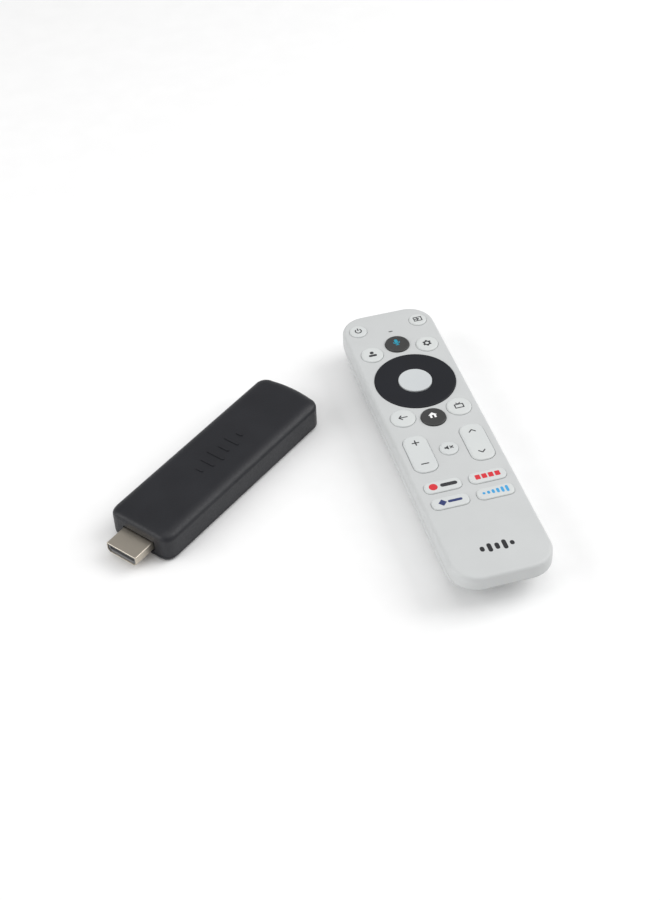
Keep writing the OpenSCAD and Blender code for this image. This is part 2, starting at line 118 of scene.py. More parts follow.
@dataclass(frozen=True)
class Finish:
    """A real material and how its surface was made.

    The colour drifts slowly to a second one, as batches of pigment and light wear do, and a fine
    grain sets the bump and moves the roughness a little.
    """

    name: str
    colour: str
    drift: str
    roughness: float
    grain_mm: float = 0.4
    relief_mm: float = 0.012
    texture: Texture = Texture.MOULDED
    turn_deg: float = 0.0
    drift_mm: float = 14.0
    metallic: float = 0.0
    ior: float | None = None
    coat: float = 0.0
    transmission: float = 0.0
    roughness_drift: float = 0.05

    def material(self) -> bpy.types.Material:
        """Builds the finish's shader once, and gives it again when it is asked for again."""
        known = bpy.data.materials.get(self.name)
        if known:
            return known
        made = bpy.data.materials.new(self.name)
        made.use_nodes = True
        tree = made.node_tree
        tree.nodes.clear()
        place = add_node(tree, "ShaderNodeTexCoord")
        turned = add_node(tree, "ShaderNodeMapping", inputs={
            "Vector": place.outputs["Object"],
            "Rotation": (0.0, 0.0, math.radians(-self.turn_deg))})
        lined = add_node(tree, "ShaderNodeMapping", inputs={
            "Vector": turned.outputs["Vector"], "Scale": self.texture.value})
        grain = add_node(tree, "ShaderNodeTexNoise", inputs={
            "Vector": lined.outputs["Vector"], "Scale": 1 / (self.grain_mm * MM),
            "Detail": 3.0, "Roughness": 0.55})
        slow = add_node(tree, "ShaderNodeTexNoise", inputs={
            "Vector": turned.outputs["Vector"], "Scale": 1 / (self.drift_mm * MM), "Detail": 2.0})
        tint = self.colour_socket(tree, turned, slow)
        rough = add_node(tree, "ShaderNodeMapRange", inputs={
            "Value": grain.outputs["Fac"], "From Min": 0.3, "From Max": 0.7,
            "To Min": self.roughness - self.roughness_drift,
            "To Max": self.roughness + self.roughness_drift})
        bump = add_node(tree, "ShaderNodeBump", inputs={
            "Height": grain.outputs["Fac"], "Strength": 1.0, "Distance": self.relief_mm * MM})
        shader = add_node(tree, "ShaderNodeBsdfPrincipled", inputs={
            "Base Color": tint, "Roughness": rough.outputs["Result"],
            "Normal": bump.outputs["Normal"], "Metallic": self.metallic,
            "Coat Weight": self.coat, "Transmission Weight": self.transmission})
        if self.ior is not None:
            shader.inputs["IOR"].default_value = self.ior
        add_node(tree, "ShaderNodeOutputMaterial", inputs={"Surface": shader.outputs["BSDF"]})
        return made

    def colour_socket(self, tree: bpy.types.NodeTree, place: bpy.types.Node,
                      slow: bpy.types.Node) -> bpy.types.NodeSocket:
        """Mixes the two colours by the slow pattern.

        Args:
            tree: the material's node tree.
            place: the node that gives the turned place on the piece.
            slow: the slow noise node.

        Returns:
            The socket that holds the surface's colour.
        """
        ramp = add_node(tree, "ShaderNodeValToRGB", inputs={"Fac": slow.outputs["Fac"]})
        ramp.color_ramp.elements[0].position = 0.35
        ramp.color_ramp.elements[0].color = linear_colour(self.colour)
        ramp.color_ramp.elements[1].position = 0.68
        ramp.color_ramp.elements[1].color = linear_colour(self.drift)
        return ramp.outputs["Color"]


@dataclass(frozen=True)
class BandedWrap(Finish):
    """A printed sleeve whose colour changes in bands along its length, as on a dry cell."""

    band: str = "#B3733A"
    low_m: float = 0.0
    high_m: float = 1.0
    share: float = 0.3

    def colour_socket(self, tree: bpy.types.NodeTree, place: bpy.types.Node,
                      slow: bpy.types.Node) -> bpy.types.NodeSocket:
        """Gives the end band, then the sleeve's own colour.

        Args:
            tree: the material's node tree.
            place: the node that gives the turned place on the piece.
            slow: the slow noise node, which the print doesn't follow.

        Returns:
            The socket that holds the surface's colour.
        """
        axes = add_node(tree, "ShaderNodeSeparateXYZ", inputs={"Vector": place.outputs["Vector"]})
        along = add_node(tree, "ShaderNodeMapRange", inputs={
            "Value": axes.outputs["Y"], "From Min": self.low_m, "From Max": self.high_m})
        ramp = add_node(tree, "ShaderNodeValToRGB", inputs={"Fac": along.outputs["Result"]})
        ramp.color_ramp.interpolation = "CONSTANT"
        ramp.color_ramp.elements[0].color = linear_colour(self.colour)
        ramp.color_ramp.elements[1].position = 1 - self.share
        ramp.color_ramp.elements[1].color = linear_colour(self.band)
        return ramp.outputs["Color"]


class Finishes:
    """Every finish on the object, named for the real material."""

    # Charcoal ABS from a spark-eroded mould: a fine matte grain with a broad soft highlight
    CHARCOAL_ABS = Finish("charcoal_abs", "#1A1B20", "#1F2025", 0.45, 0.75, 0.045, ior=1.43,
                          roughness_drift=0.08)
    # Pale grey ABS with a satin mould finish, cool in tone
    PALE_ABS = Finish("pale_grey_abs", "#C9CBCB", "#CCCECE", 0.5, 0.5, 0.006, ior=1.53)
    # Whiter satin plastic of the key caps
    KEY_PLASTIC = Finish("white_key_plastic", "#D3D6D6", "#D6D9D8", 0.46, 0.4, 0.004, ior=1.5)
    # Cool grey satin plastic of the select key
    SELECT_PLASTIC = Finish("cool_grey_key_plastic", "#CBCFD1", "#CED2D3", 0.46, 0.4, 0.004, ior=1.5)
    # Dark grey satin plastic of the two accent keys
    DARK_KEY_PLASTIC = Finish("dark_key_plastic", "#17171A", "#1B1B1E", 0.42, 0.35, 0.004, ior=1.5)
    # Matte blue-black plastic of the direction ring
    RING_PLASTIC = Finish("blue_black_plastic", "#0A0D16", "#0D1019", 0.55, 0.4, 0.006, ior=1.44)
    # Nickel-plated steel of the plug, with fine rolling lines along it
    NICKEL = Finish("nickel_plate", "#CAC2B5", "#C3BBAE", 0.33, 0.2, 0.0012, Texture.BRUSHED,
                    metallic=1.0, roughness_drift=0.03)
    # Tin-plated spring steel, a little brighter
    TINNED_STEEL = Finish("tinned_steel", "#C2C4C6", "#B6B8BA", 0.34, 0.3, 0.003, metallic=1.0)
    # Zinc-plated screws
    ZINC = Finish("zinc_plate", "#9DA0A3", "#8F9295", 0.38, 0.3, 0.004, metallic=1.0)
    # Gold flash over nickel on the contacts
    GOLD = Finish("gold_flash", "#D9B25F", "#CBA352", 0.28, 0.2, 0.002, metallic=1.0)
    # Black glass-filled nylon inside the sockets, dull and slightly grainy
    BLACK_NYLON = Finish("black_nylon", "#161618", "#1C1C1E", 0.6, 0.3, 0.01, ior=1.53)
    # Dark grey liquid-crystal polymer round the plug's contacts, smooth from the mould
    GREY_LINER = Finish("grey_liner_polymer", "#646466", "#6A6A6B", 0.5, 0.3, 0.004, ior=1.6)
    # Green solder mask over a glass-epoxy board
    SOLDER_MASK = Finish("green_solder_mask", "#1F5A3A", "#235F3E", 0.32, 0.8, 0.006, ior=1.55)
    # Black moulded resin of chip packages
    CHIP_RESIN = Finish("chip_resin", "#18191B", "#1D1E20", 0.62, 0.2, 0.006, ior=1.55)
    # Soft blue-grey thermal gap pad
    GAP_PAD = Finish("thermal_pad", "#7E93A8", "#8799AC", 0.8, 0.5, 0.02, ior=1.43)
    # Stamped aluminium heat spreader with drawn lines
    SPREADER = Finish("stamped_aluminium", "#B2B4B7", "#A8AAAD", 0.36, 0.3, 0.004, Texture.DRAWN,
                      metallic=1.0)
    # Bare etched copper of the antenna
    COPPER = Finish("etched_copper", "#C98B4A", "#BF8040", 0.35, 0.3, 0.003, metallic=1.0)
    # Translucent grey silicone of the keypad mat
    SILICONE = Finish("keypad_silicone", "#B4B9B9", "#BCC0C0", 0.62, 0.6, 0.01, ior=1.41)
    # Infrared-pass acrylic: nearly black and polished
    DARK_ACRYLIC = Finish("infrared_acrylic", "#1B1116", "#201419", 0.12, 1.5, 0.002, ior=1.49,
                          roughness_drift=0.02)
    # Clear polycarbonate of the light pipe, frosted at its face
    LIGHT_PIPE = Finish("frosted_polycarbonate", "#E9EEF1", "#F2F5F7", 0.35, 0.3, 0.006, ior=1.58,
                        transmission=0.4)
    # Dark grey pad-printed ink of the key signs
    GREY_INK = Finish("grey_ink", "#2E2F32", "#333437", 0.5, 0.2, 0.002, ior=1.5)
    # Black pad-printed ink
    BLACK_INK = Finish("black_ink", "#1C1D20", "#222326", 0.45, 0.2, 0.002, ior=1.5)
    # White ink on the dark keys
    WHITE_INK = Finish("white_ink", "#F2F3F3", "#FAFAFA", 0.5, 0.2, 0.002, ior=1.5)
    # Teal ink of the voice sign
    TEAL_INK = Finish("teal_ink", "#1E93AE", "#239AB5", 0.45, 0.2, 0.002, ior=1.5)
    # Coloured inks of the four app keys
    RED_INK = Finish("red_ink", "#D42B36", "#DB343E", 0.45, 0.2, 0.002, ior=1.5)
    NAVY_INK = Finish("navy_ink", "#2D3A6E", "#344178", 0.45, 0.2, 0.002, ior=1.5)
    SKY_INK = Finish("sky_ink", "#3FA0D8", "#49A8DE", 0.45, 0.2, 0.002, ior=1.5)


# ---- Workbench ----


def clear_selection() -> None:
    """Leaves edit mode and deselects every object."""
    if bpy.context.object and bpy.context.object.mode != "OBJECT":
        bpy.ops.object.mode_set(mode="OBJECT")
    bpy.ops.object.select_all(action="DESELECT")


def take_up(obj: bpy.types.Object) -> None:
    """Makes an object the only one selected, and the active one."""
    clear_selection()
    obj.select_set(True)
    bpy.context.view_layer.objects.active = obj


def apply_modifier(obj: bpy.types.Object, kind: str, **settings: object) -> None:
    """Adds a modifier with its settings and applies it.

    Args:
        obj: the object to change.
        kind: the modifier's type.
        **settings: the modifier's attributes.
    """
    take_up(obj)
    modifier = obj.modifiers.new(kind.lower(), kind)
    for name, value in settings.items():
        setattr(modifier, name, value)
    bpy.ops.object.modifier_apply(modifier=modifier.name)


def rounded_edge(width: float, rise: float, steps: int, fullness: float = 2.0) -> list[Step]:
    """Splits an eased edge into the insets and rises that model it.

    Args:
        width: how far the edge runs in from the side.
        rise: how far it climbs.
        steps: how many facets it has.
        fullness: two for a plain ellipse, more for a squarer edge.

    Returns:
        One inset and rise for each facet, from the side towards the face.
    """
    turns = [math.pi / 2 * i / steps for i in range(steps + 1)]
    power = 2 / fullness
    across = [width * (1 - math.cos(a) ** power) for a in turns[:-1]] + [width]
    up = [rise * math.sin(a) ** power for a in turns]
    return [(across[i + 1] - across[i], up[i + 1] - up[i]) for i in range(steps)]


class Bench:
    """One mesh on the bench, shaped in millimetres about its own origin."""

    def __init__(self, name: str) -> None:
        """Names the piece that is to be made."""
        self.name = name
        self.obj: bpy.types.Object | None = None

    def _start(self, z: float) -> None:
        """Takes the new primitive into edit mode, all selected, at a height."""
        self.obj = bpy.context.object
        self.obj.name = self.name
        self.obj.data.name = self.name
        bpy.ops.object.mode_set(mode="EDIT")
        bpy.ops.mesh.select_all(action="SELECT")
        bpy.ops.transform.translate(value=(0, 0, z))

    def sheet(self, width: float, length: float, corner_r: float, z: float = 0.0,
              segments: int = 12) -> "Bench":
        """Starts from a flat sheet with rounded corners.

        Args:
            width: its size along X.
            length: its size along Y.
            corner_r: the radius of its corners.
            z: its height.
            segments: facets round each corner.

        Returns:
            This bench.
        """
        clear_selection()
        bpy.ops.mesh.primitive_plane_add(size=1)
        self._start(z)
        bpy.ops.transform.resize(value=(width, length, 1))
        if corner_r > 0:
            bpy.ops.mesh.bevel(offset=corner_r, segments=segments, affect="VERTICES")
        bpy.ops.mesh.select_all(action="SELECT")
        return self

    def disc(self, radius: float, z: float = 0.0, sides: int = 64) -> "Bench":
        """Starts from a flat disc.

        Args:
            radius: its radius.
            z: its height.
            sides: facets round it.

        Returns:
            This bench.
        """
        clear_selection()
        bpy.ops.mesh.primitive_circle_add(vertices=sides, radius=radius, fill_type="NGON")
        self._start(z)
        return self

    def outline(self, points: Sequence[Point]) -> "Bench":
        """Starts from a flat face with the given corners, in order."""
        self.disc(1.0, 0.0, len(points))
        corners = iter(points)
        return self.bend_points(lambda p: Vector((*next(corners), 0)))

    def rise(self, height: float) -> "Bench":
        """Extrudes the selected face straight up, or down for a negative height."""
        bpy.ops.mesh.extrude_region_move(TRANSFORM_OT_translate={"value": (0, 0, height)})
        return self

    def steps(self, steps: Sequence[Step]) -> "Bench":
        """Insets the selected face again and again, each time moving it along its normal."""
        for inset, rise in steps:
            bpy.ops.mesh.inset(thickness=inset, depth=rise, use_even_offset=True)
        return self

    def pick(self, test: Callable[[bmesh.types.BMFace], bool]) -> "Bench":
        """Selects the faces that pass a test, and only those."""
        bpy.ops.mesh.select_mode(type="FACE")
        mesh = bmesh.from_edit_mesh(self.obj.data)
        for face in mesh.faces:
            face.select_set(False)
        for face in [f for f in mesh.faces if test(f)]:
            face.select_set(True)
        bmesh.update_edit_mesh(self.obj.data)
        return self

    def pick_level(self, z: float, up: bool = True) -> "Bench":
        """Selects the flat faces at a height that look up, or down."""
        sign = 1 if up else -1
        return self.pick(lambda f: abs(f.calc_center_median().z - z) < 1e-3
                         and f.normal.z * sign > 0.99)

    def outward(self) -> "Bench":
        """Turns every face outwards."""
        bpy.ops.mesh.select_all(action="SELECT")
        bpy.ops.mesh.normals_make_consistent(inside=False)
        return self

    def drop_picked(self) -> "Bench":
        """Deletes the selected faces."""
        bpy.ops.mesh.delete(type="FACE")
        return self

    def slice(self, z: float, keep_above: bool) -> "Bench":
        """Cuts the mesh at a height and leaves it open there.

        Args:
            z: the height of the cut.
            keep_above: whether the upper part stays.

        Returns:
            This bench.
        """
        bpy.ops.mesh.select_all(action="SELECT")
        bpy.ops.mesh.bisect(plane_co=(0, 0, z), plane_no=(0, 0, 1), clear_inner=keep_above,
                            clear_outer=not keep_above)
        return self

    def bend_points(self, move: Callable[[Vector], Vector]) -> "Bench":
        """Moves every point by a rule."""
        mesh = bmesh.from_edit_mesh(self.obj.data)
        for vert in mesh.verts:
            vert.co = move(vert.co)
        bmesh.update_edit_mesh(self.obj.data)
        return self

    def lift_off(self) -> "Bench":
        """Turns every face outwards and leaves edit mode."""
        self.outward()
        bpy.ops.object.mode_set(mode="OBJECT")
        return self

    def shift(self, place: Matrix) -> "Bench":
        """Moves the finished mesh by a matrix, still in millimetres."""
        clear_selection()
        self.obj.data.transform(place)
        return self

    def cut(self, *cutters: "Bench") -> "Bench":
        """Cuts other pieces out of this one, and discards them."""
        return self._combine("DIFFERENCE", cutters)

    def fuse(self, *others: "Bench") -> "Bench":
        """Joins other pieces to this one as one solid, and discards them."""
        return self._combine("UNION", others)

    def overlap(self, *others: "Bench") -> "Bench":
        """Keeps only what this piece shares with the others, and discards them."""
        return self._combine("INTERSECT", others)

    def _combine(self, operation: str, others: Sequence["Bench"]) -> "Bench":
        """Runs a boolean with the others joined as one mesh.

        Args:
            operation: the boolean's name.
            others: the other benches.

        Returns:
            This bench.
        """
        if not others:
            return self
        clear_selection()
        for other in others:
            other.obj.select_set(True)
        bpy.context.view_layer.objects.active = others[0].obj
        if len(others) > 1:
            bpy.ops.object.join()
        tool = others[0].obj
        apply_modifier(self.obj, "BOOLEAN", operation=operation, object=tool, solver="EXACT",
                       use_self=operation == "UNION" or len(others) > 1)
        bpy.data.objects.remove(tool)
        return self

    def thicken(self, wall: float) -> "Bench":
        """Gives an open skin its wall, inwards."""
        apply_modifier(self.obj, "SOLIDIFY", thickness=wall, offset=-1, use_even_offset=True)
        return self

    def ease(self, width: float, segments: int = 2, angle_deg: float = 50.0) -> "Bench":
        """Rounds the sharp edges."""
        apply_modifier(self.obj, "BEVEL", width=width, segments=segments, limit_method="ANGLE",
                       angle_limit=math.radians(angle_deg), use_clamp_overlap=True)
        return self

    def place(self, where: Matrix, finish: Finish, node: str, stands_for: bool = True,
              smooth_deg: float = 32.0) -> None:
        """Puts the finished piece on the object.

        Args:
            where: its place in millimetres in the row frame.
            finish: what it is made of.
            node: the CAD node whose body it joins.
            stands_for: whether it replaces that node.
            smooth_deg: edges flatter than this are shaded smooth.
        """
        take_up(self.obj)
        self.obj.data.transform(Matrix.Scale(MM, 4) @ where)
        self.obj.data.materials.clear()
        self.obj.data.materials.append(finish.material())
        bpy.ops.object.shade_smooth_by_angle(angle=math.radians(smooth_deg))
        apply_modifier(self.obj, "WEIGHTED_NORMAL", keep_sharp=True, weight=80)
        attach(self.obj, BODY_OF[node])
        if stands_for:
            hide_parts(node)
        log.info("%s: %d faces on %s", self.obj.name, len(self.obj.data.polygons), BODY_OF[node])


def straight_block(name: str, size: tuple[float, float, float], low_z: float = 0.0,
                   corner_r: float = 0.0, segments: int = 8) -> Bench:
    """Makes a closed upright block with rounded plan corners."""
    return Bench(name).sheet(size[0], size[1], corner_r, low_z, segments).rise(size[2]).lift_off()


def straight_rod(name: str, radius: float, height: float, low_z: float = 0.0,
                 sides: int = 64) -> Bench:
    """Makes a closed upright rod."""
    return Bench(name).disc(radius, low_z, sides).rise(height).lift_off()


def crowned(bench: Bench, height: float, edge: Step, dish: Sequence[Step] = ()) -> Bench:
    """Raises a flat foot at height zero to a button with a rounded edge."""
    bench.rise(height).outward().pick_level(height)
    return bench.steps(rounded_edge(edge[0], edge[1], 4)).steps(dish).lift_off()


def raise_key(bench: Bench, foot_z: float, flange: Step, top: float, edge: Step) -> None:
    """Raises a key from its flat foot: its flange, its straight side and its rounded edge.

    Args:
        bench: the key's foot, in edit mode.
        foot_z: its height.
        flange: the flange's width and thickness.
        top: the height of the key's top.
        edge: how far the rounded edge runs in, and how far it climbs.
    """
    bench.rise(flange[1]).outward().pick_level(foot_z + flange[1])
    bench.steps([(flange[0], 0.0)]).rise(top - edge[1] - foot_z - flange[1])
    bench.steps(rounded_edge(edge[0], edge[1], 6))


def shift_by(x: float, y: float, z: float = 0.0) -> Matrix:
    """Gives the matrix of a plain move in millimetres."""
    return Matrix.Translation((x, y, z))


def centre_mm(node: str) -> Vector:
    """Gives the middle of a CAD node's box in millimetres."""
    low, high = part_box(node)
    return (low + high) / (2 * MM)


def top_mm(node: str) -> float:
    """Gives the height of a CAD node's top in millimetres."""
    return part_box(node)[1].z / MM


# ---- Printed signs ----


class Ink:
    """Draws a sign from strokes of ink, in millimetres about its own middle, with +Y up."""

    def __init__(self, name: str, depth: float = 0.05) -> None:
        """Names the sign and sets how thick the ink lies."""
        self.name = name
        self.depth = depth
        self.strokes: list[Bench] = []

    def _keep(self, bench: Bench, place: Matrix) -> "Ink":
        """Adds a finished stroke at its place."""
        self.strokes.append(bench.shift(place))
        return self

    def bar(self, start: Point, end: Point, width: float, round_ends: bool = True) -> "Ink":
        """Adds a straight stroke.

        Args:
            start: one end of its centre line.
            end: the other end.
            width: its width.
            round_ends: whether its ends are round.

        Returns:
            This sign.
        """
        run = Vector(end) - Vector(start)
        length = run.length + (width if round_ends else 0)
        corner = width * 0.49 if round_ends else 0.0
        stroke = straight_block(self.name, (length, width, self.depth), 0, corner, 5)
        middle = (Vector(start) + Vector(end)) / 2
        turn = Matrix.Rotation(math.atan2(run.y, run.x), 4, "Z")
        return self._keep(stroke, shift_by(middle.x, middle.y) @ turn)

    def path(self, points: Sequence[Point], width: float) -> "Ink":
        """Adds a stroke through several points."""
        for start, end in zip(points, points[1:]):
            self.bar(start, end, width)
        return self

    def dot(self, middle: Point, radius: float, sides: int = 32) -> "Ink":
        """Adds a filled spot, or a filled polygon where it has few sides."""
        return self._keep(straight_rod(self.name, radius, self.depth, 0, sides), shift_by(*middle))

    def patch(self, middle: Point, size: Point, corner_r: float) -> "Ink":
        """Adds a filled rounded rectangle."""
        block = straight_block(self.name, (size[0], size[1], self.depth), 0, corner_r, 5)
        return self._keep(block, shift_by(*middle))

    def shape(self, points: Sequence[Point]) -> "Ink":
        """Adds a filled outline given by its corners, in order."""
        bench = Bench(self.name).outline(points).rise(self.depth).lift_off()
        return self._keep(bench, Matrix.Identity(4))

    def ring(self, middle: Point, radius: float, width: float, start_deg: float = 0,
             end_deg: float = 360, sides: int = 40) -> "Ink":
        """Adds a ring, or a part of one counted anticlockwise from +X.

        Args:
            middle: its centre.
            radius: the radius of its centre line.
            width: its width.
            start_deg: where the stroke starts.
            end_deg: where it ends.
            sides: facets round it.

        Returns:
            This sign.
        """
        bench = Bench(self.name).disc(radius + width / 2, 0.0, sides)
        bench.steps([(width, 0)]).drop_picked()
        bench.pick(lambda f: not start_deg - 1e-6 <= math.degrees(math.atan2(
            f.calc_center_median().y, f.calc_center_median().x)) % 360 <= end_deg)
        bench.drop_picked()
        bpy.ops.mesh.select_all(action="SELECT")
        bench.rise(self.depth).lift_off()
        return self._keep(bench, shift_by(*middle))

    def draw(self, strokes: Sequence[tuple]) -> "Ink":
        """Adds strokes that are given as a method's name and what it takes."""
        for stroke, *values in strokes:
            getattr(self, stroke)(*values)
        return self

    def print_on(self, where: Matrix, ink: Finish, node: str) -> None:
        """Fuses the strokes and lays the sign at a place, on the piece that stands for a node."""
        first, *rest = self.strokes
        first.fuse(*rest).place(where, ink, node, False)


def spoke(turn_deg: float, radius: float) -> Point:
    """Gives the point at an angle and a distance from the middle."""
    return (math.cos(math.radians(turn_deg)) * radius, math.sin(math.radians(turn_deg)) * radius)


def level_bars(heights: Sequence[float], pitch: float, width: float) -> tuple[tuple, ...]:
    """Lists the strokes of a row of round-ended bars, a plain sign for sound.

    Args:
        heights: each bar's whole height.
        pitch: the distance between them.
        width: their width.

    Returns:
        The strokes.
    """
    bars = []
    for i, height in enumerate(heights):
        x, half = pitch * (i - (len(heights) - 1) / 2), max(height - width, 0.02) / 2
        bars.append(("bar", (x, -half), (x, half), width))
    return tuple(bars)


class Sign(Enum):
    """The plain signs on the keys. Each stroke is a method of Ink and what it is given."""

    POWER = (("ring", (0, -0.1), 1.2, 0.46, 0, 52), ("ring", (0, -0.1), 1.2, 0.46, 128, 360),
             ("bar", (0, 0.3), (0, 1.4), 0.46))
    INPUT = (("path", ((-1.55, 0.55), (-1.55, 1.1), (1.55, 1.1), (1.55, -1.1), (-1.55, -1.1),
                       (-1.55, -0.55)), 0.42),
             ("bar", (-1.6, 0), (0.35, 0), 0.42),
             ("path", ((-0.3, 0.6), (0.4, 0), (-0.3, -0.6)), 0.42))
    PERSON = (("dot", (0, 0.8), 0.78), ("patch", (0, -0.85), (3.2, 1.15), 0.5))
    GEAR = (("ring", (0, 0), 1.05, 0.66),
            *(("bar", spoke(a, 1.1), spoke(a, 1.75), 0.72, False) for a in range(30, 390, 60)))
    VOICE = (("patch", (0, 0.75), (1.35, 2.3), 0.65), ("ring", (0, 0.4), 1.2, 0.36, 180, 360),
             ("bar", (0, -0.8), (0, -1.4), 0.36), ("bar", (-0.55, -1.5), (0.55, -1.5), 0.36))
    BACK = (("bar", (-1.5, 0), (1.6, 0), 0.46),
            ("path", ((-0.5, 1.05), (-1.55, 0), (-0.5, -1.05)), 0.46))
    HOME = (("shape", ((-1.75, 0.1), (0, 1.6), (1.75, 0.1), (1.2, 0.1), (-1.2, 0.1))),
            ("patch", (-0.8, -0.6), (0.8, 1.5), 0.0), ("patch", (0.8, -0.6), (0.8, 1.5), 0.0))
    GUIDE = (("path", ((-1.6, 0.75), (1.6, 0.75), (1.6, -1.15), (-1.6, -1.15), (-1.6, 0.75)), 0.44),
             ("bar", (0, 0.8), (-0.75, 1.6), 0.4), ("bar", (0, 0.8), (0.75, 1.6), 0.4))
    PLUS = (("bar", (-1.2, 0), (1.2, 0), 0.5), ("bar", (0, -1.2), (0, 1.2), 0.5))
    MINUS = (("bar", (-1.3, 0), (1.3, 0), 0.5),)
    UP = (("path", ((-1.2, -0.5), (0, 0.6), (1.2, -0.5)), 0.46),)
    DOWN = (("path", ((-1.2, 0.5), (0, -0.6), (1.2, 0.5)), 0.46),)
    MUTE = (("shape", ((-1.7, 0.4), (-1.05, 0.4), (-0.2, 1.1), (-0.2, -1.1), (-1.05, -0.4),
                       (-1.7, -0.4))),
            ("bar", (0.5, 0.5), (1.5, -0.5), 0.42), ("bar", (0.5, -0.5), (1.5, 0.5), 0.42))
    SPOT = (("dot", (0, 0), 1.6),)
    LABEL = (("bar", (-2.2, 0), (2.5, 0), 1.7),)
    SQUARES = tuple(("patch", ((i - 1.5) * 2.5, 0), (1.9, 2.3), 0.25) for i in range(4))
    DIAMOND = (("dot", (0, 0), 1.6, 4),)
    DASH = (("bar", (-2.0, 0), (2.2, 0), 1.2),)
    RISING = level_bars((1.1, 1.5, 1.9, 2.3, 2.7, 3.1), 1.75, 1.05)


# ---- Remote ----

KEY_FOOT_Z = 14.3
INK_SINK = 0.02
RING_R = 15.7


@dataclass(frozen=True)
class KeyCap:
    """A key cap with its signs.

    node is the CAD node and body, radius the cap's radius (or its corner radius where it has a
    size), and signs the sign, ink and offset of each.
    """

    node: str
    radius: float
    signs: tuple[tuple[Sign, Finish, Point], ...] = ()
    size: Point | None = None
    edge: Step = (1.1, 0.55)
    finish: Finish = Finishes.KEY_PLASTIC
    dish: float = 0.0
    flange: Step = (0.45, 0.6)

    def build(self) -> None:
        """Models the cap from its foot up, then prints its signs."""
        at, top, flange = centre_mm(self.node), top_mm(self.node), self.flange[0]
        bench = Bench("cap_" + self.node)
        if self.size:
            bench.sheet(self.size[0] + 2 * flange, self.size[1] + 2 * flange,
                        self.radius + flange, KEY_FOOT_Z, 10)
        else:
            bench.disc(self.radius + flange, KEY_FOOT_Z)
        raise_key(bench, KEY_FOOT_Z, self.flange, top, self.edge)
        if self.dish:
            bench.steps([(0.12, 0.0), (0.5, -self.dish * 0.6), (0.9, -self.dish * 0.3),
                         (1.2, -self.dish * 0.1)])
        bench.lift_off()
        bench.place(shift_by(at.x, at.y), self.finish, self.node)
        for i, (sign, ink, offset) in enumerate(self.signs):
            where = shift_by(at.x + offset[0], at.y + offset[1], top - self.dish - INK_SINK)
            Ink(f"sign_{self.node}_{i + 1}").draw(sign.value).print_on(where, ink, self.node)


@dataclass
class DirectionPad:
    """The dark ring that rocks in four directions round the select key."""

    outer_r: float = RING_R
    inner_r: float = 6.75
    flange: Step = (0.45, 0.55)
    edge: Step = (0.4, 0.35)

    def build(self) -> None:
        """Models the ring, slightly hollow on top, and dresses it."""
        at = centre_mm("dpad_ring")
        bench = Bench("direction_ring").disc(self.outer_r + self.flange[0], KEY_FOOT_Z, 128)
        raise_key(bench, KEY_FOOT_Z, self.flange, top_mm("dpad_ring"), self.edge)
        flat = self.outer_r - self.edge[0] - self.inner_r - 0.5
        bench.steps([(0.2, 0.0), (flat, -0.12), (0.12, -0.04), (0.1, -0.08), (0.08, -0.2)])
        bench.lift_off()
        bench.cut(straight_rod("core", self.inner_r, 8, KEY_FOOT_Z - 2, 128))
        bench.place(shift_by(at.x, at.y), Finishes.RING_PLASTIC, "dpad_ring")


